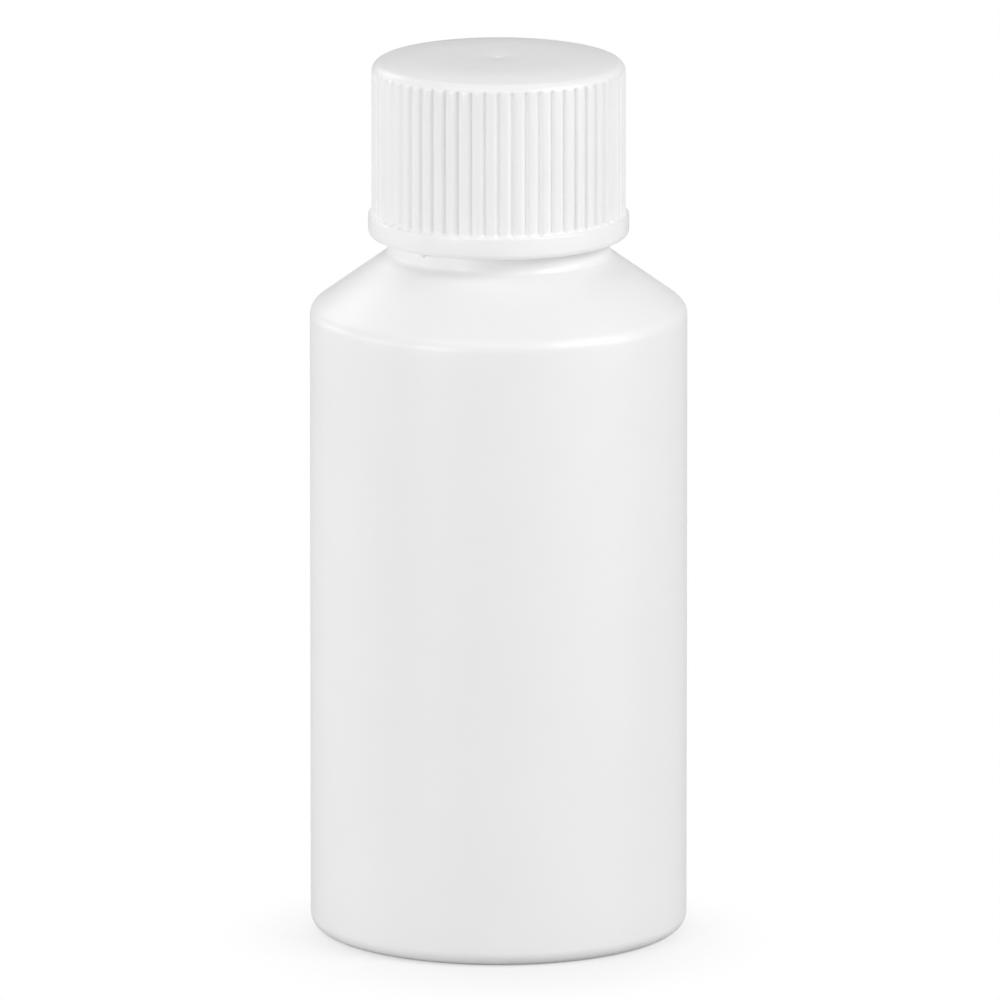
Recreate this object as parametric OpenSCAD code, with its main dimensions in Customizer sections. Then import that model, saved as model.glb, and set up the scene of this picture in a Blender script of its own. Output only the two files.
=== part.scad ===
// Round blow-moulded bottle with a coarse right-hand neck thread, closed by a
// ribbed screw cap that holds a foam sealing disc. Sizes are in millimetres.
// The origin is the centre of the ring that the bottle stands on, and +Z is up.

/* [Bottle body] */
// Outside diameter of the straight wall
body_d = 46; // [42:1:54]
// Height at which the straight wall meets the shoulder cone, before rounding
shoulder_z = 77.4; // [60:0.2:95]
// Slope of the shoulder cone above the horizontal, in degrees
shoulder_slope = 36; // [25:1:45]
// Rounding between the straight wall and the shoulder
shoulder_r = 2; // [0.5:0.1:4]
// Rounding between the straight wall and the standing ring
heel_r = 1.9; // [0.8:0.1:3]
// Thickness of the blown wall
wall = 1.1; // [0.8:0.1:1.6]
// Thickness of the base
base_t = 1.3; // [0.8:0.1:2.5]
// Flat width of the ring that the bottle stands on
foot_w = 3; // [1.5:0.5:5]
// Height of the hollow under the base
push_up = 1.8; // [1:0.1:3]

/* [Neck] */
// Height of the neck's lip above the shoulder
neck_h = 21.1; // [19:0.1:26]
// Wall between the pouring bore and the thread's root
neck_wall = 1.75; // [1.2:0.05:2.2]
// Height of the plain collar at the neck's foot
collar_h = 5; // [3:0.1:6]
// How far the collar's wall stays inside the thread's crests
collar_inset = 0.15; // [0.1:0.05:0.6]
// Rounding where the collar runs into the shoulder
neck_foot_r = 2; // [0.5:0.1:3]
// Rounding of the lip's outer edge
lip_r = 0.5; // [0.2:0.1:0.8]

/* [Thread] */
// Diameter over the crests of the neck's thread
thread_d = 27.4; // [26:0.2:30]
// Height of the neck's thread ridge
thread_h = 1.15; // [0.8:0.05:1.3]
// Rise of the thread in one turn
thread_pitch = 4.2; // [3.8:0.1:4.4]
// Turns of thread on the neck
neck_turns = 2; // [1:0.25:2]
// Turns of thread in the cap
cap_turns = 1.5; // [1:0.25:1.5]
// Width of the neck ridge's crest
neck_crest_w = 1; // [0.6:0.1:1.2]
// Width of the cap ridge's crest
cap_crest_w = 0.8; // [0.6:0.1:1]
// Plain lip above the neck's thread
plain_lip = 1.6; // [1.2:0.1:2.5]

/* [Screw cap] */
// Number of grip ribs
rib_count = 58; // [40:1:72]
// Width of the groove between two ribs
groove_w = 0.68; // [0.4:0.02:0.8]
// Depth of the groove between two ribs
groove_depth = 0.38; // [0.2:0.02:0.5]
// Skirt wall behind the grooves
skirt_t = 1.15; // [0.9:0.05:1.6]
// Thickness of the top
top_t = 2; // [1.6:0.1:2.6]
// Radius of the top's level middle
level_r = 8.4; // [6:0.1:10]
// Fall of the top's rim towards its edge, in degrees
rim_slope = 9; // [4:0.5:12]
// Rounding of the top edge
edge_r = 1.3; // [0.8:0.1:1.8]
// Height of the plain band at the cap's rim
band_h = 2.6; // [1.8:0.1:4]
// How far the band stands out from the ribs
band_out = 0.42; // [0.2:0.02:0.8]
// Height of the ledge between the band and the ribs
ledge_h = 0.6; // [0.4:0.1:1]
// Rounding of the band's lower edge
band_r = 0.8; // [0.3:0.1:1]
// Gap between the cap's rim and the neck's foot
rim_gap = 2.1; // [1.5:0.1:4]
// Width of the moulded pip under the rim
pip_w = 1; // [0.6:0.1:1.4]
// How far the pip hangs below the rim
pip_h = 0.4; // [0.2:0.1:0.8]
// Direction of the pip, in degrees from +X
pip_angle = 232; // [0:1:359]
// Radius of the gate mark in the top
gate_r = 1.2; // [0.6:0.1:2]
// Depth of the gate mark
gate_depth = 0.15; // [0.1:0.05:0.3]

/* [Liner] */
// Thickness of the sealing disc
liner_t = 1; // [0.6:0.1:1.4]

/* [Clearances] */
// Radial gap between the cap and the neck
cap_fit = 0.25; // [0.15:0.05:0.4]
// Gap between the bearing flanks of the two threads
flank_fit = 0.2; // [0.1:0.05:0.3]
// Radial gap round the sealing disc
liner_fit = 0.1; // [0.05:0.01:0.12]

/* [Hidden] */

// Direction of the front, in degrees from +X: a groove of the cap faces it
front = -90;
// Facets of a full turn, and degrees that one facet of a rounding covers
turn_facets = 116;
round_step = 9;
// Extra reach of a cutter past the surface that it opens
past = 1;

// Body and shoulder
body_r = body_d / 2;
inner_r = body_r - wall;
cone_rise = tan(shoulder_slope);
cone_wall = wall / cos(shoulder_slope);
foot_in_r = body_r - heel_r - foot_w;
hollow_r = foot_in_r - push_up;

// Neck
crest_r = thread_d / 2;
root_r = crest_r - thread_h;
bore_r = root_r - neck_wall;
collar_r = crest_r - collar_inset;
neck_z = shoulder_z + (body_r - collar_r) * cone_rise;
lip_z = neck_z + neck_h;
collar_z = neck_z + collar_h;

// Screw cap, from the neck outwards
bore_wall_r = crest_r + cap_fit;
rib_r = bore_wall_r + skirt_t + groove_depth;
band_wall_r = rib_r + band_out;
rim_z = neck_z + rim_gap;
band_z = rim_z + band_h;
liner_z = lip_z;
ceiling_z = liner_z + liner_t;
top_z = ceiling_z + top_t;
// The level top and the falling rim meet at a corner, whose rounding starts at level_r
rim_corner_r = (level_r + rib_r - edge_r) / 2;
rim_round_r = (rim_corner_r - level_r) / tan(rim_slope / 2);
rim_edge_z = top_z - (rib_r - rim_corner_r) * tan(rim_slope);
// The bead under the disc holds it up and stays clear of the thread's crests
bead_gap = 0.05;
bead_h = cap_fit - bead_gap;
lead_in = 0.4;

// Threads. Both ridges follow one helix, and the cap's lies below the neck's
flank = 0.6;
sink = 0.5;
skin = 0.1;
thread_step = 10;
run_out = 40;
cap_tip_r = root_r + cap_fit;
neck_root_half = neck_crest_w / 2 + thread_h * flank;
helix_z = lip_z - plain_lip - neck_root_half - neck_turns * thread_pitch;
ridge_drop = (neck_crest_w + cap_crest_w) / 2 + (crest_r - cap_tip_r) * flank + flank_fit;
helix_end = 360 * neck_turns;

// Unit vector from point a to point b
function towards(a, b) = (b - a) / norm(b - a);

// The corner p between a and b, rounded to radius r by points on its arc
function rounded_corner(a, p, b, r) =
    r == 0 ? [p] :
    let (u = towards(p, a), v = towards(p, b))
    let (half = acos(u * v) / 2, sweep = 180 - 2 * half)
    let (centre = p + towards([0, 0], u + v) * r / sin(half))
    let (first = p + u * r / tan(half) - centre, last = p + v * r / tan(half) - centre)
    let (steps = ceil(sweep / round_step))
    [for (i = [0:steps]) let (t = i / steps)
        centre + (first * sin((1 - t) * sweep) + last * sin(t * sweep)) / sin(sweep)];

// Closed outline from corners given as [radius, height, rounding]
function outline(corners) =
    let (n = len(corners), at = [for (c = corners) [c[0], c[1]]])
    [for (i = [0:n - 1])
        each rounded_corner(at[(i + n - 1) % n], at[i], at[(i + 1) % n], corners[i][2])];

module turned(corners) {
    rotate_extrude($fn = turn_facets) polygon(outline(corners));
}

// Share of a ridge's full height at an angle along the helix, falling away at both ends
function ridge_share(angle, start, end) =
    sin(90 * min(1, (angle - start) / run_out, (end - angle) / run_out));

// Four points of a ridge's section in a plane through the axis, nearest the axis first.
// The foot is buried in the wall, and the tip's half width grows along the flanks.
function ridge_section(foot_r, tip_r, tip_half, angle, z) =
    let (foot_half = tip_half + abs(tip_r - foot_r) * flank)
    let (near = foot_r < tip_r ? [foot_r, foot_half] : [tip_r, tip_half])
    let (far = foot_r < tip_r ? [tip_r, tip_half] : [foot_r, foot_half])
    [for (p = [[near[0], z - near[1]], [far[0], z - far[1]],
               [far[0], z + far[1]], [near[0], z + near[1]]])
        [p[0] * cos(angle), p[0] * sin(angle), p[1]]];

// Ridge that climbs the helix from start to end, in degrees. It grows out of wall_r to tip_r.
module ridge(wall_r, tip_r, tip_half, start, end, z0) {
    side = tip_r > wall_r ? 1 : -1;
    foot_r = wall_r - side * sink;
    hidden_r = wall_r - side * skin;
    steps = round((end - start) / thread_step);
    sections = [for (i = [0:steps])
        let (angle = start + (end - start) * i / steps)
        let (share = ridge_share(angle, start, end))
        ridge_section(foot_r, hidden_r + (tip_r - hidden_r) * share, tip_half, angle,
                      z0 + thread_pitch * angle / 360)];
    quads = [for (i = [0:steps - 1], j = [0:3])
        [4 * i + j, 4 * i + (j + 1) % 4, 4 * (i + 1) + (j + 1) % 4, 4 * (i + 1) + j]];
    ends = [[3, 2, 1, 0], [for (j = [0:3]) 4 * steps + j]];
    polyhedron(points = [for (s = sections) each s],
               faces = [for (q = concat(quads, ends)) each [[q[0], q[1], q[2]], [q[0], q[2], q[3]]]]);
}

// Blown body, shoulder and neck in one wall, with a hollow under the base
module bottle() {
    color([0.93, 0.93, 0.92]) union() {
        turned([
            [0, push_up, 0],
            [hollow_r, push_up, 1.5],
            [foot_in_r, 0, 0.6],
            [body_r, 0, heel_r],
            [body_r, shoulder_z, shoulder_r],
            [collar_r, neck_z, neck_foot_r],
            [collar_r, collar_z, 0.4],
            [root_r, collar_z, 0.3],
            [root_r, lip_z, lip_r],
            [bore_r, lip_z, 0.3],
            [bore_r, shoulder_z + (body_r - bore_r) * cone_rise - cone_wall, neck_foot_r],
            [inner_r, shoulder_z + wall * cone_rise - cone_wall, shoulder_r],
            [inner_r, base_t, heel_r],
            [foot_in_r, base_t, 0.6],
            [hollow_r, push_up + base_t, 1.5],
            [0, push_up + base_t, 0]
        ]);
        ridge(root_r, crest_r, neck_crest_w / 2, 0, helix_end, helix_z);
    }
}

// Groove between two ribs: it runs from the band up through the rounded top edge
module groove() {
    translate([rib_r - groove_depth + groove_w / 2, 0, band_z])
        cylinder(d = groove_w, h = top_z + past - band_z, $fn = 16);
}

// Ribbed cap in one piece, with its thread, its bead for the disc and the pip under its rim
module screw_cap() {
    color([0.97, 0.97, 0.97]) union() {
        difference() {
            turned([
                [0, ceiling_z, 0],
                [bore_wall_r, ceiling_z, 0],
                [bore_wall_r, liner_z - bead_gap, 0],
                [bore_wall_r - bead_h, liner_z - bead_gap - bead_h, 0],
                [bore_wall_r, liner_z - bead_gap - 3 * bead_h, 0],
                [bore_wall_r, rim_z + lead_in, 0],
                [bore_wall_r + lead_in, rim_z, 0],
                [band_wall_r, rim_z, band_r],
                [band_wall_r, band_z, 0.5],
                [rib_r, band_z + ledge_h, 0.5],
                [rib_r, rim_edge_z, edge_r],
                [rim_corner_r, top_z, rim_round_r],
                [gate_r, top_z, 0],
                [gate_r - gate_depth, top_z - gate_depth, 0],
                [0, top_z - gate_depth, 0]
            ]);
            for (i = [0:rib_count - 1]) rotate(front + 360 * i / rib_count) groove();
        }
        ridge(bore_wall_r, cap_tip_r, cap_crest_w / 2, helix_end - 360 * cap_turns, helix_end,
              helix_z - ridge_drop);
        rotate(pip_angle) translate([(bore_wall_r + band_wall_r) / 2, 0, rim_z - pip_h])
            cylinder(d = pip_w, h = pip_h + sink, $fn = 24);
    }
}

// Foam disc between the neck's lip and the cap's ceiling
module cap_liner() {
    color([0.88, 0.88, 0.86]) translate([0, 0, liner_z])
        cylinder(r = bore_wall_r - liner_fit, h = liner_t, $fn = turn_facets);
}

bottle();
screw_cap();
cap_liner();
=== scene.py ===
"""Looks of a round white pharmacy bottle: blown bottle, ribbed screw cap and sealing disc.

Every size is in metres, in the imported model's own frame: +Z is up and the front faces -Y.
"""
import math
import bpy
import numpy as np
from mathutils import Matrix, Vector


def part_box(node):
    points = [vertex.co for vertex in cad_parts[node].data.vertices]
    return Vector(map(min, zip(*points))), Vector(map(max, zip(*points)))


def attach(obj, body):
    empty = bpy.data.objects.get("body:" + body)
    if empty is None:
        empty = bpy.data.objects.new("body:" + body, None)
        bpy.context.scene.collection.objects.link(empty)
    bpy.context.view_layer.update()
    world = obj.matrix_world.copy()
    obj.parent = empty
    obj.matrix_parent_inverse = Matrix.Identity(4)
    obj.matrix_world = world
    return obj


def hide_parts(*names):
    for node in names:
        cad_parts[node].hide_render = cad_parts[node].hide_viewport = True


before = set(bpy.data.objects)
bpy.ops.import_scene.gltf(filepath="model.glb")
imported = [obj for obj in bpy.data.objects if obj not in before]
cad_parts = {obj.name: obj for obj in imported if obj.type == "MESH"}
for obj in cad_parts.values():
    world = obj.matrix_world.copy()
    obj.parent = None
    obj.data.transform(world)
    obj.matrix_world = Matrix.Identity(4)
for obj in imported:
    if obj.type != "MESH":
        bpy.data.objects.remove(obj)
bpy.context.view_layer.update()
MM = 0.001

# Grids: the turn in degrees and the smallest step along a rounding, how near counts as the same
# radius or height, the columns round a piece, and the widest gaps between rows
ARC_TURN = 8
ARC_STEP = 0.05 * MM
SAME = 0.01 * MM
BOTTLE_COLUMNS = 256
DISC_COLUMNS = 144
BOTTLE_ROW_GAP = 3 * MM
NECK_THREAD_ROW_GAP = 0.22 * MM
CAP_ROW_GAP = 4 * MM
CAP_THREAD_ROW_GAP = 0.5 * MM
RIM_ROW_GAP = 0.14 * MM
DISC_ROW_GAP = 2 * MM

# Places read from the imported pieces
bottle_low, bottle_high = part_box("bottle")
cap_low, cap_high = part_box("screw_cap")
disc_low, disc_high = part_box("cap_liner")

# Bottle
BODY_R = bottle_high.x
WALL = 1.1 * MM
BASE_T = 1.3 * MM
HEEL_R = 1.9 * MM
SHOULDER_SLOPE = math.radians(36)
SHOULDER_R = 2 * MM
FOOT_W = 3 * MM
FOOT_EDGE_R = 0.6 * MM
PUSH_UP = 1.8 * MM
PUSH_UP_R = 1.5 * MM
PINCH_HEIGHT = 0.28 * MM
PINCH_HALF_W = 0.35 * MM
PINCH_HALF_LENGTH = 11 * MM
PINCH_END_W = 1 * MM
PARTING_HALF_W = 0.12 * MM

# Neck and its thread
LIP_Z = bottle_high.z
NECK_H = 21.1 * MM
NECK_WALL = 1.75 * MM
COLLAR_H = 5 * MM
COLLAR_INSET = 0.15 * MM
NECK_FOOT_R = 1 * MM
COLLAR_TOP_R = 0.4 * MM
ROOT_FOOT_R = 0.3 * MM
LIP_R = 0.5 * MM
LIP_IN_R = 0.3 * MM
CREST_R = 13.7 * MM
THREAD_H = 1.15 * MM
PITCH = 4.2 * MM
NECK_TURNS = 2
CAP_TURNS = 1.5
NECK_CREST_W = 1 * MM
CAP_CREST_W = 0.8 * MM
PLAIN_LIP = 1.6 * MM
FLANK = 0.6
FLANK_FIT = 0.2 * MM
RUN_OUT = 40
RIDGE_SINK = 0.1 * MM
RIDGE_EDGE_W = 0.15 * MM
RIDGE_FOOT_W = 0.12 * MM
CAP_FIT = 0.25 * MM
ROOT_R = CREST_R - THREAD_H
BORE_R = ROOT_R - NECK_WALL
COLLAR_R = CREST_R - COLLAR_INSET
NECK_Z = LIP_Z - NECK_H
COLLAR_Z = NECK_Z + COLLAR_H
CONE_RISE = math.tan(SHOULDER_SLOPE)
SHOULDER_Z = NECK_Z - (BODY_R - COLLAR_R) * CONE_RISE

# Screw cap
RIB_COUNT = 58
GROOVE_DEPTH = 0.38 * MM
GROOVE_HALF_W = 0.6 * MM
CREST_ROUND = 2 * MM
GROOVE_FOOT_H = 0.3 * MM
GROOVE_END_H = 0.9 * MM
GROOVE_EDGE_W = 0.06 * MM
LEVEL_R = 8.4 * MM
RIM_SLOPE = math.radians(9)
EDGE_R = 1.3 * MM
BAND_H = 2.6 * MM
BAND_OUT = 0.42 * MM
BAND_R = 0.8 * MM
LEDGE_H = 0.6 * MM
LEDGE_R = 0.5 * MM
LEAD_IN = 0.4 * MM
PIP_H = 0.4 * MM
PIP_R = 0.5 * MM
PIP_SIDE_W = 0.3 * MM
PIP_ANGLE = math.radians(232)
GATE_R = 0.5 * MM
GATE_DEPTH = 0.08 * MM
GATE_EDGE_R = 0.1 * MM
INNER_EDGE_R = 0.1 * MM
BEAD_EDGE_R = 0.05 * MM
BAND_WALL_R = cap_high.x
RIB_R = BAND_WALL_R - BAND_OUT
BORE_WALL_R = CREST_R + CAP_FIT
TOP_Z = cap_high.z
RIM_Z = cap_low.z + PIP_H
BAND_Z = RIM_Z + BAND_H
CEILING_Z = disc_high.z
BEAD_GAP = 0.05 * MM
BEAD_H = CAP_FIT - BEAD_GAP

# Sealing disc
DISC_R = disc_high.x
DISC_EDGE_R = 0.12 * MM
LIP_PRINT_DEPTH = 0.06 * MM
LIP_PRINT_SIDE_W = 0.3 * MM
LIP_PRINT_EDGE_R = 0.1 * MM

# Materials: the part of a noise node's range that a pattern uses
NOISE_LOW = 0.3
NOISE_HIGH = 0.7

# Camera: the photograph's frame is 1000 pixels wide, and the bottle's wall spans 377 of them
FRAME_PIXELS = 1000
PIXEL = 2 * BODY_R / 377
CAMERA_PITCH = math.radians(12.57)
CAMERA_DISTANCE = 26260 * PIXEL
AIM_PIXEL_X = 498.6
AIM_Z = 436 * PIXEL
SENSOR_W = 36
VIEW_REACH = 100

# Stage, in metres: the floor's reach, its tone for the light and for the camera, the distances
# between which the camera sees it run out into plain white and the share of white that it starts
# with, and the room's tone
FLOOR_HALF_W = 12
FLOOR_TONE = 0.52
SEEN_FLOOR_TONE = 0.9
SHADOW_CENTRE = (0, -8 * MM, 0)
SHADOW_REACH = (13 * MM, 36 * MM)
LEAST_WHITE = 0.5
ROOM_TONE = 0.31

# Softboxes in three rings: elevation in degrees, distance, width and height
LOW_RING = (7, 1.2, 0.36, 0.35)
HIGH_RING = (32, 1.1, 0.6, 0.4)
TOP_RING = (60, 1.0, 0.5, 0.4)


# Profiles

def unit(v):
    """A vector divided by its length."""
    return v / np.linalg.norm(v)


def round_corner(before, corner, after, radius):
    """Arc that rounds a corner: its centre lies on the bisector of the two sides, and its points
    blend the two tangent directions at even angles of about ARC_TURN, or wider ones where the
    points would lie closer together than ARC_STEP."""
    if radius == 0:
        return corner[None]
    u, v = unit(before - corner), unit(after - corner)
    half = np.arccos(u @ v) / 2
    sweep = np.pi - 2 * half
    centre = corner + unit(u + v) * radius / np.sin(half)
    first = corner + u * radius / np.tan(half) - centre
    last = corner + v * radius / np.tan(half) - centre
    steps = math.ceil(min(math.degrees(sweep) / ARC_TURN, sweep * radius / ARC_STEP))
    t = np.linspace(0, 1, max(3, steps + 1))[:, None]
    return centre + (first * np.sin((1 - t) * sweep) + last * np.sin(t * sweep)) / np.sin(sweep)


def outline(corners):
    """Open path through corners of (radius, height, rounding), each corner rounded by its arc."""
    at = np.array([c[:2] for c in corners])
    arcs = [round_corner(at[i - 1], at[i], at[i + 1], corners[i][2]) for i in range(1, len(at) - 1)]
    return np.vstack([at[:1], *arcs, at[-1:]])


def refine(path, gap):
    """The same path with more points: the straight step k is cut into equal steps no longer than
    gap[k]."""
    step = np.diff(path, axis=0)
    pieces = np.maximum(1, np.ceil(np.linalg.norm(step, axis=1) / gap - 1e-9).astype(int))
    which = np.repeat(np.arange(len(step)), pieces)
    first = np.repeat(np.cumsum(pieces) - pieces, pieces)
    share = (np.arange(pieces.sum()) - first) / pieces[which]
    return np.vstack([path[which] + share[:, None] * step[which], path[-1:]])


def smooth_step(t):
    """0 up to t = 0, 1 from t = 1, and the cubic 3t^2 - 2t^3 between."""
    t = np.clip(t, 0, 1)
    return t * t * (3 - 2 * t)


def soft_max(a, b, width):
    """The larger of a and b, with the crease between them filled by a parabola of that width."""
    return np.maximum(a, b) + np.maximum(width - np.abs(a - b), 0) ** 2 / (4 * width)


# Surfaces

def new_piece(name, points, faces, material, body, slot):
    """Smooth-shaded mesh object at the origin that rides on a body and has a finish."""
    mesh = bpy.data.meshes.new(name)
    mesh.from_pydata(points, [], faces)
    mesh.polygons.foreach_set("use_smooth", np.ones(len(mesh.polygons), bool))
    mesh.materials.append(material)
    mesh.update()
    piece = bpy.data.objects.new(name, mesh)
    bpy.context.scene.collection.objects.link(piece)
    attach(piece, body)
    return piece


def turned_surface(radius, height, angle):
    """Closed surface of revolution. Point (i, j) stands at radius[i, j] from the axis, at
    height[i, j] and at angle[j]. The first and last rows lie on the axis, so each becomes one
    pole."""
    rows, columns = len(radius) - 2, len(angle)
    ring = np.stack([radius * np.cos(angle), radius * np.sin(angle), height], axis=-1)
    points = np.vstack([ring[0, :1], ring[1:-1].reshape(-1, 3), ring[-1, :1]])
    j = np.arange(columns)
    after = (j + 1) % columns
    low = 1 + columns * np.arange(rows - 1)[:, None]
    quads = np.stack([low + j, low + after, low + columns + after, low + columns + j], axis=-1)
    top = 1 + columns * (rows - 1)
    first_fan = np.stack([np.zeros(columns, int), 1 + after, 1 + j], axis=-1)
    last_fan = np.stack([top + j, top + after, np.full(columns, top + columns)], axis=-1)
    return points, quads.reshape(-1, 4).tolist() + first_fan.tolist() + last_fan.tolist()


def ridge_radius(angle, height, wall_r, tip_r, crest_w, start, end, helix_z):
    """Radius of a thread ridge that climbs the helix z = helix_z + PITCH * turns between two angles
    in degrees. Across the ridge the radius is level over the crest and falls along straight flanks,
    and along it the tip sinks into the wall by a quarter sine over RUN_OUT degrees at both ends."""
    side = 1 if tip_r > wall_r else -1
    degrees = np.degrees(angle) % 360
    turn = np.round((height - helix_z) / PITCH - degrees / 360)
    lowest = np.ceil((start - degrees) / 360)
    highest = np.floor((end - degrees) / 360)
    along = degrees + 360 * np.clip(turn, lowest, highest)
    across = np.abs(height - helix_z - PITCH * along / 360)
    share = np.clip(np.minimum(along - start, end - along) / RUN_OUT, 0, 1)
    rise = (abs(tip_r - wall_r) + RIDGE_SINK) * np.sin(np.pi / 2 * share) - RIDGE_SINK
    fall = soft_max(across - crest_w / 2, 0, RIDGE_EDGE_W) / FLANK
    return wall_r + side * (rise - fall)


# Bottle

def bottle_shell(material):
    """Blown bottle as one closed wall: the profile runs from the middle of the base out under the
    standing ring, up the outside, over the lip and down the inside. The thread is the larger of the
    neck's root radius and the ridge's, and the pinch-off is a straight weld across the base, a
    bell curve in section."""
    foot_in_r = BODY_R - HEEL_R - FOOT_W
    hollow_r = foot_in_r - PUSH_UP
    inner_r = BODY_R - WALL
    cone_wall = WALL / math.cos(SHOULDER_SLOPE)
    path = outline([
        (0, PUSH_UP, 0),
        (hollow_r, PUSH_UP, PUSH_UP_R),
        (foot_in_r, 0, FOOT_EDGE_R),
        (BODY_R, 0, HEEL_R),
        (BODY_R, SHOULDER_Z, SHOULDER_R),
        (COLLAR_R, NECK_Z, NECK_FOOT_R),
        (COLLAR_R, COLLAR_Z, COLLAR_TOP_R),
        (ROOT_R, COLLAR_Z, ROOT_FOOT_R),
        (ROOT_R, LIP_Z, LIP_R),
        (BORE_R, LIP_Z, LIP_IN_R),
        (BORE_R, SHOULDER_Z + (BODY_R - BORE_R) * CONE_RISE - cone_wall, NECK_FOOT_R),
        (inner_r, SHOULDER_Z + WALL * CONE_RISE - cone_wall, SHOULDER_R),
        (inner_r, BASE_T, HEEL_R),
        (foot_in_r, BASE_T, FOOT_EDGE_R),
        (hollow_r, PUSH_UP + BASE_T, PUSH_UP_R),
        (0, PUSH_UP + BASE_T, 0)])
    middle = (path[:-1] + path[1:]) / 2
    threaded = (np.abs(middle[:, 0] - ROOT_R) < SAME) & (middle[:, 1] > COLLAR_Z)
    path = refine(path, np.where(threaded, NECK_THREAD_ROW_GAP, BOTTLE_ROW_GAP))
    angle = np.linspace(0, 2 * np.pi, BOTTLE_COLUMNS, endpoint=False)
    radius = np.repeat(path[:, :1], len(angle), axis=1)
    height = np.repeat(path[:, 1:], len(angle), axis=1)

    root_half = NECK_CREST_W / 2 + THREAD_H * FLANK
    helix_z = LIP_Z - PLAIN_LIP - root_half - NECK_TURNS * PITCH
    ridge = ridge_radius(angle, height, ROOT_R, CREST_R, NECK_CREST_W, 0, 360 * NECK_TURNS, helix_z)
    on_root = np.abs(radius - ROOT_R) < SAME
    radius = np.where(on_root, soft_max(radius, ridge, RIDGE_FOOT_W), radius)

    x, y = radius * np.cos(angle), radius * np.sin(angle)
    weld = np.exp(-(y / PINCH_HALF_W) ** 2)
    weld = weld * smooth_step((PINCH_HALF_LENGTH - np.abs(x)) / PINCH_END_W)
    under = (height <= PUSH_UP) & (radius < foot_in_r)
    height = height - PINCH_HEIGHT * weld * under
    piece = new_piece("bottle_shell", *turned_surface(radius, height, angle), material, "bottle",
                      "bottle_plastic")
    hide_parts("bottle")


# Screw cap

def rib_angles():
    """Column angles for the cap: the same uneven set in each rib's pitch, closer together in the
    groove. A groove faces the front."""
    half_pitch = np.pi * RIB_R / RIB_COUNT
    side = np.concatenate([np.arange(1, 6) * GROOVE_HALF_W / 5, [(GROOVE_HALF_W + half_pitch) / 2]])
    across = np.concatenate([-side[::-1], [0], side, [half_pitch]])
    groove = np.arange(RIB_COUNT) * 2 * half_pitch
    return -np.pi / 2 + (groove[:, None] + across).ravel() / RIB_R


def groove_radius(angle):
    """Radius of the ribbed skirt: from the middle of a rib it falls along a parabola whose curve
    has the radius CREST_ROUND, and near the groove a cubic step adds the rest of the groove's
    depth."""
    pitch = 2 * np.pi / RIB_COUNT
    half_pitch = pitch / 2 * RIB_R
    across = np.abs((angle + np.pi / 2 + pitch / 2) % pitch - pitch / 2) * RIB_R
    crest = (half_pitch - across) ** 2 / (2 * CREST_ROUND)
    rest = GROOVE_DEPTH - half_pitch ** 2 / (2 * CREST_ROUND)
    return RIB_R - crest - rest * smooth_step(1 - across / GROOVE_HALF_W)


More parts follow.
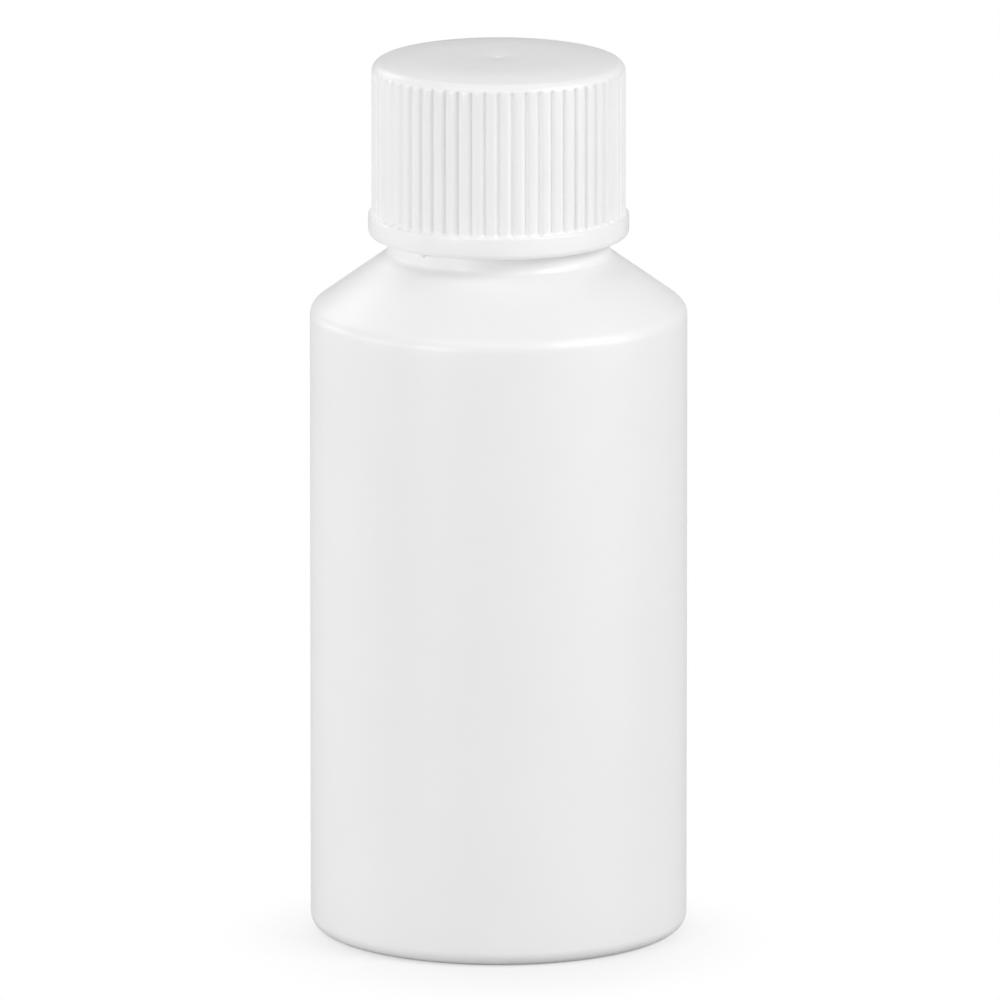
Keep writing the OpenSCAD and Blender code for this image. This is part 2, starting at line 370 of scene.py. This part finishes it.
def cap_shell(material):
    """Moulded cap as one closed wall: the profile runs from the middle of the ceiling down the
    threaded inside, round the rim and up the ribbed outside to the gate mark. The grooves are the
    smaller of the profile's radius and the groove's. Where the top edge starts to round, a cubic
    step of GROOVE_END_H takes their depth to nothing. The pip lowers the rim by a cubic step round
    its own centre."""
    corner_r = (LEVEL_R + RIB_R - EDGE_R) / 2
    corner_round = (corner_r - LEVEL_R) / math.tan(RIM_SLOPE / 2)
    edge_z = TOP_Z - (RIB_R - corner_r) * math.tan(RIM_SLOPE)
    bead_z = disc_low.z - BEAD_GAP
    path = outline([
        (0, CEILING_Z, 0),
        (BORE_WALL_R, CEILING_Z, INNER_EDGE_R),
        (BORE_WALL_R, bead_z, BEAD_EDGE_R),
        (BORE_WALL_R - BEAD_H, bead_z - BEAD_H, BEAD_EDGE_R),
        (BORE_WALL_R, bead_z - 3 * BEAD_H, INNER_EDGE_R),
        (BORE_WALL_R, RIM_Z + LEAD_IN, INNER_EDGE_R),
        (BORE_WALL_R + LEAD_IN, RIM_Z, INNER_EDGE_R),
        (BAND_WALL_R, RIM_Z, BAND_R),
        (BAND_WALL_R, BAND_Z, LEDGE_R),
        (RIB_R, BAND_Z + LEDGE_H, LEDGE_R),
        (RIB_R, edge_z, EDGE_R),
        (corner_r, TOP_Z, corner_round),
        (GATE_R, TOP_Z, GATE_EDGE_R),
        (GATE_R - 2 * GATE_DEPTH, TOP_Z - GATE_DEPTH, GATE_EDGE_R),
        (0, TOP_Z - GATE_DEPTH, 0)])
    middle = (path[:-1] + path[1:]) / 2
    inside = np.abs(middle[:, 0] - BORE_WALL_R) < SAME
    on_rim = np.abs(middle[:, 1] - RIM_Z) < SAME
    gap = np.where(inside, CAP_THREAD_ROW_GAP, CAP_ROW_GAP)
    path = refine(path, np.where(on_rim, RIM_ROW_GAP, gap))
    angle = rib_angles()
    radius = np.repeat(path[:, :1], len(angle), axis=1)
    height = np.repeat(path[:, 1:], len(angle), axis=1)

    tip_r = ROOT_R + CAP_FIT
    neck_root_half = NECK_CREST_W / 2 + THREAD_H * FLANK
    drop = (NECK_CREST_W + CAP_CREST_W) / 2 + (CREST_R - tip_r) * FLANK + FLANK_FIT
    helix_z = LIP_Z - PLAIN_LIP - neck_root_half - NECK_TURNS * PITCH - drop
    end = 360 * NECK_TURNS
    ridge = ridge_radius(angle, height, BORE_WALL_R, tip_r, CAP_CREST_W, end - 360 * CAP_TURNS, end,
                         helix_z)
    on_bore = np.abs(radius - BORE_WALL_R) < SAME
    radius = np.where(on_bore, -soft_max(-radius, -ridge, RIDGE_FOOT_W), radius)

    outside = radius > BORE_WALL_R + LEAD_IN
    fade = smooth_step((height - BAND_Z) / GROOVE_FOOT_H)
    edge_start = edge_z - EDGE_R * math.tan((math.pi / 2 - RIM_SLOPE) / 2)
    depth = (RIB_R - groove_radius(angle)) * (1 - smooth_step((height - edge_start) / GROOVE_END_H))
    grooved = -soft_max(-radius, depth - RIB_R, GROOVE_EDGE_W)
    radius = np.where(outside, radius + fade * (grooved - radius), radius)

    pip_at = (BORE_WALL_R + BAND_WALL_R) / 2
    away = np.hypot(radius * np.cos(angle) - pip_at * math.cos(PIP_ANGLE),
                    radius * np.sin(angle) - pip_at * math.sin(PIP_ANGLE))
    low = height < RIM_Z + BAND_R
    height = height - PIP_H * smooth_step((PIP_R - away) / PIP_SIDE_W) * low
    piece = new_piece("cap_shell", *turned_surface(radius, height, angle), material, "cap",
                      "cap_plastic")
    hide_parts("screw_cap")


# Sealing disc

def sealing_disc(material):
    """Foam disc with a rounded edge. Its lower face keeps a shallow ring where the lip presses
    it."""
    path = outline([
        (0, disc_low.z, 0),
        (BORE_R, disc_low.z, 0),
        (BORE_R + LIP_PRINT_SIDE_W, disc_low.z + LIP_PRINT_DEPTH, LIP_PRINT_EDGE_R),
        (ROOT_R - LIP_PRINT_SIDE_W, disc_low.z + LIP_PRINT_DEPTH, LIP_PRINT_EDGE_R),
        (ROOT_R, disc_low.z, 0),
        (DISC_R, disc_low.z, DISC_EDGE_R),
        (DISC_R, disc_high.z, DISC_EDGE_R),
        (0, disc_high.z, 0)])
    path = refine(path, np.full(len(path) - 1, DISC_ROW_GAP))
    angle = np.linspace(0, 2 * np.pi, DISC_COLUMNS, endpoint=False)
    radius = np.repeat(path[:, :1], len(angle), axis=1)
    height = np.repeat(path[:, 1:], len(angle), axis=1)
    piece = new_piece("sealing_disc", *turned_surface(radius, height, angle), material, "cap_disc",
                      "liner_foam")
    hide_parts("cap_liner")


# Materials

class Finish:
    """A Principled material and short calls for the nodes that feed it."""

    def __init__(self, name):
        self.material = bpy.data.materials.new(name)
        self.material.use_nodes = True
        self.nodes = self.material.node_tree.nodes
        self.links = self.material.node_tree.links
        self.shader = self.nodes["Principled BSDF"]
        self.place = self.nodes.new("ShaderNodeTexCoord").outputs["Object"]

    def refraction(self, index):
        """Constant index of refraction on the shader's own socket."""
        self.shader.inputs["IOR"].default_value = index

    def noise(self, feature, detail):
        """Noise whose lumps are about feature metres across."""
        node = self.nodes.new("ShaderNodeTexNoise")
        node.inputs["Scale"].default_value = 1 / feature
        node.inputs["Detail"].default_value = detail
        self.links.new(self.place, node.inputs["Vector"])
        return node.outputs["Fac"]

    def spread(self, value, low, high):
        """Noise between NOISE_LOW and NOISE_HIGH, spread between two numbers."""
        node = self.nodes.new("ShaderNodeMapRange")
        node.inputs["From Min"].default_value = NOISE_LOW
        node.inputs["From Max"].default_value = NOISE_HIGH
        node.inputs["To Min"].default_value = low
        node.inputs["To Max"].default_value = high
        self.links.new(value, node.inputs["Value"])
        return node.outputs["Result"]

    def tint(self, value, dark, light):
        """Colour between two tints, picked by noise."""
        node = self.nodes.new("ShaderNodeMix")
        node.data_type = "RGBA"
        self.links.new(self.spread(value, 0, 1), node.inputs[0])
        node.inputs[6].default_value = (*dark, 1)
        node.inputs[7].default_value = (*light, 1)
        self.links.new(node.outputs[2], self.shader.inputs["Base Color"])

    def roughness(self, value, low, high):
        """Roughness between two numbers, picked by noise."""
        self.links.new(self.spread(value, low, high), self.shader.inputs["Roughness"])

    def relief(self, value, height, below=None):
        """Bump of that height in metres, laid over another bump."""
        node = self.nodes.new("ShaderNodeBump")
        node.inputs["Strength"].default_value = 1
        node.inputs["Distance"].default_value = height
        self.links.new(value, node.inputs["Height"])
        if below is not None:
            self.links.new(below, node.inputs["Normal"])
        self.links.new(node.outputs["Normal"], self.shader.inputs["Normal"])
        return node.outputs["Normal"]


def blown_plastic():
    """Satin white polyethylene: a faint cloudiness, a fine mould grain, long shallow waves of the
    blown wall and the hair-thin parting line of the two mould halves at both sides."""
    finish = Finish("blown_plastic")
    finish.refraction(1.54)
    finish.tint(finish.noise(14 * MM, 3), (0.89, 0.891, 0.896), (0.908, 0.908, 0.912))
    finish.roughness(finish.noise(2.5 * MM, 3), 0.36, 0.41)
    waves = finish.relief(finish.noise(16 * MM, 1), 0.02 * MM)
    grain = finish.relief(finish.noise(0.35 * MM, 2), 0.0015 * MM, waves)
    finish.relief(parting_line(finish), 0.03 * MM, grain)
    return finish.material


def parting_line(finish):
    """1 in the mould's parting plane y = 0, falling to 0 over PARTING_HALF_W."""
    split = finish.nodes.new("ShaderNodeSeparateXYZ")
    finish.links.new(finish.place, split.inputs["Vector"])
    away = finish.nodes.new("ShaderNodeMath")
    away.operation = "ABSOLUTE"
    finish.links.new(split.outputs["Y"], away.inputs[0])
    line = finish.nodes.new("ShaderNodeMapRange")
    line.interpolation_type = "SMOOTHSTEP"
    line.inputs["From Min"].default_value = 0
    line.inputs["From Max"].default_value = PARTING_HALF_W
    line.inputs["To Min"].default_value = 1
    line.inputs["To Max"].default_value = 0
    finish.links.new(away.outputs["Value"], line.inputs["Value"])
    return line.outputs["Result"]


def cap_plastic():
    """Softly glossy white polypropylene with a finer grain than the bottle's."""
    finish = Finish("cap_plastic")
    finish.refraction(1.49)
    finish.tint(finish.noise(9 * MM, 3), (0.905, 0.905, 0.909), (0.922, 0.922, 0.925))
    finish.roughness(finish.noise(1.5 * MM, 3), 0.285, 0.32)
    waves = finish.relief(finish.noise(6 * MM, 1), 0.005 * MM)
    finish.relief(finish.noise(0.25 * MM, 2), 0.0008 * MM, waves)
    return finish.material


def disc_foam():
    """Off-white closed-cell foam: small round cells as dimples, quite matt."""
    finish = Finish("disc_foam")
    finish.refraction(1.45)
    finish.tint(finish.noise(1.2 * MM, 3), (0.84, 0.84, 0.82), (0.88, 0.88, 0.86))
    finish.roughness(finish.noise(0.5 * MM, 2), 0.7, 0.85)
    cells = finish.nodes.new("ShaderNodeTexVoronoi")
    cells.inputs["Scale"].default_value = 1 / (0.35 * MM)
    finish.links.new(finish.place, cells.inputs["Vector"])
    finish.relief(cells.outputs["Distance"], 0.03 * MM)
    return finish.material


# Stage

def is_camera_ray(nodes):
    """1 for what the camera sees directly."""
    return nodes.new("ShaderNodeLightPath").outputs["Is Camera Ray"]


def stage_floor():
    """Pale floor under the bottle. The camera sees it as white paper that keeps only the soft
    shadow close to the bottle, which reaches further towards the front."""
    material = bpy.data.materials.new("stage_floor")
    material.use_nodes = True
    nodes, links = material.node_tree.nodes, material.node_tree.links
    nodes.clear()

    def paper(tone):
        node = nodes.new("ShaderNodeBsdfDiffuse")
        node.inputs["Color"].default_value = (tone, tone, tone, 1)
        return node.outputs[0]

    def mix(share, low, high):
        node = nodes.new("ShaderNodeMixShader")
        for source, socket in ((share, "Fac"), (low, 1), (high, 2)):
            links.new(source, node.inputs[socket])
        return node.outputs[0]

    gap = nodes.new("ShaderNodeVectorMath")
    gap.operation = "DISTANCE"
    gap.inputs[1].default_value = SHADOW_CENTRE
    links.new(nodes.new("ShaderNodeTexCoord").outputs["Object"], gap.inputs[0])
    white = nodes.new("ShaderNodeMapRange")
    white.interpolation_type = "SMOOTHSTEP"
    white.inputs["From Min"].default_value, white.inputs["From Max"].default_value = SHADOW_REACH
    white.inputs["To Min"].default_value = LEAST_WHITE
    links.new(gap.outputs["Value"], white.inputs["Value"])
    seen = mix(white.outputs["Result"], paper(SEEN_FLOOR_TONE),
               nodes.new("ShaderNodeEmission").outputs[0])
    out = nodes.new("ShaderNodeOutputMaterial")
    links.new(mix(is_camera_ray(nodes), paper(FLOOR_TONE), seen), out.inputs["Surface"])

    mesh = bpy.data.meshes.new("floor")
    corners = [(-1, -1, 0), (1, -1, 0), (1, 1, 0), (-1, 1, 0)]
    mesh.from_pydata(FLOOR_HALF_W * np.array(corners), [], [(0, 1, 2, 3)])
    mesh.materials.append(material)
    floor = bpy.data.objects.new("floor", mesh)
    bpy.context.scene.collection.objects.link(floor)


def softbox(name, azimuth, ring, power):
    """Soft studio lamp that faces the bottle. Azimuth is in degrees from the front, to the
    right."""
    elevation, distance, width, height = ring
    turn, lift = math.radians(azimuth), math.radians(elevation)
    lamp = bpy.data.lights.new(name, "AREA")
    lamp.shape = "RECTANGLE"
    lamp.size, lamp.size_y = width, height
    lamp.energy = power
    light = bpy.data.objects.new(name, lamp)
    light.location = (distance * math.cos(lift) * math.sin(turn),
                      -distance * math.cos(lift) * math.cos(turn),
                      AIM_Z + distance * math.sin(lift))
    light.rotation_euler = (math.pi / 2 - lift, 0, turn)
    bpy.context.scene.collection.objects.link(light)


def studio_light():
    """Softboxes low at both sides, a strong one high on the right, and dimmer ones behind and above
    that the cap's rim reflects, in an even grey room that the camera sees as white."""
    softbox("left_front_box", -40, LOW_RING, 4.55)
    softbox("left_side_box", -80, LOW_RING, 2.3)
    softbox("left_rear_box", -120, LOW_RING, 1.45)
    softbox("right_side_box", 80, LOW_RING, 2.25)
    softbox("right_high_box", 60, HIGH_RING, 6.0)
    softbox("left_high_box", -45, TOP_RING, 1.1)
    softbox("left_back_box", -140, HIGH_RING, 1.5)
    softbox("back_box", 180, HIGH_RING, 0.4)
    softbox("back_high_box", 180, TOP_RING, 1.0)
    world = bpy.data.worlds.new("room")
    bpy.context.scene.world = world
    world.use_nodes = True
    nodes, links = world.node_tree.nodes, world.node_tree.links
    room = nodes["Background"]
    room.inputs["Color"].default_value = (ROOM_TONE, ROOM_TONE, ROOM_TONE, 1)
    backdrop = nodes.new("ShaderNodeBackground")
    mix = nodes.new("ShaderNodeMixShader")
    links.new(is_camera_ray(nodes), mix.inputs["Fac"])
    links.new(room.outputs[0], mix.inputs[1])
    links.new(backdrop.outputs[0], mix.inputs[2])
    backdrop.inputs["Color"].default_value = (1, 1, 1, 1)
    links.new(mix.outputs[0], nodes["World Output"].inputs["Surface"])


def camera():
    """Long lens that looks down on the bottle at the photograph's angle."""
    lens = bpy.data.cameras.new("camera")
    lens.sensor_width = SENSOR_W
    lens.lens = SENSOR_W * CAMERA_DISTANCE / (FRAME_PIXELS * PIXEL)
    lens.clip_end = VIEW_REACH
    view = bpy.data.objects.new("camera", lens)
    aim_x = (FRAME_PIXELS / 2 - AIM_PIXEL_X) * PIXEL
    view.location = (aim_x, -CAMERA_DISTANCE * math.cos(CAMERA_PITCH),
                     AIM_Z + CAMERA_DISTANCE * math.sin(CAMERA_PITCH))
    view.rotation_euler = (math.pi / 2 - CAMERA_PITCH, 0, 0)
    bpy.context.scene.collection.objects.link(view)
    bpy.context.scene.camera = view


camera()
bottle_shell(blown_plastic())
cap_shell(cap_plastic())
sealing_disc(disc_foam())
stage_floor()
studio_light()
bpy.context.scene.view_settings.view_transform = "Standard"
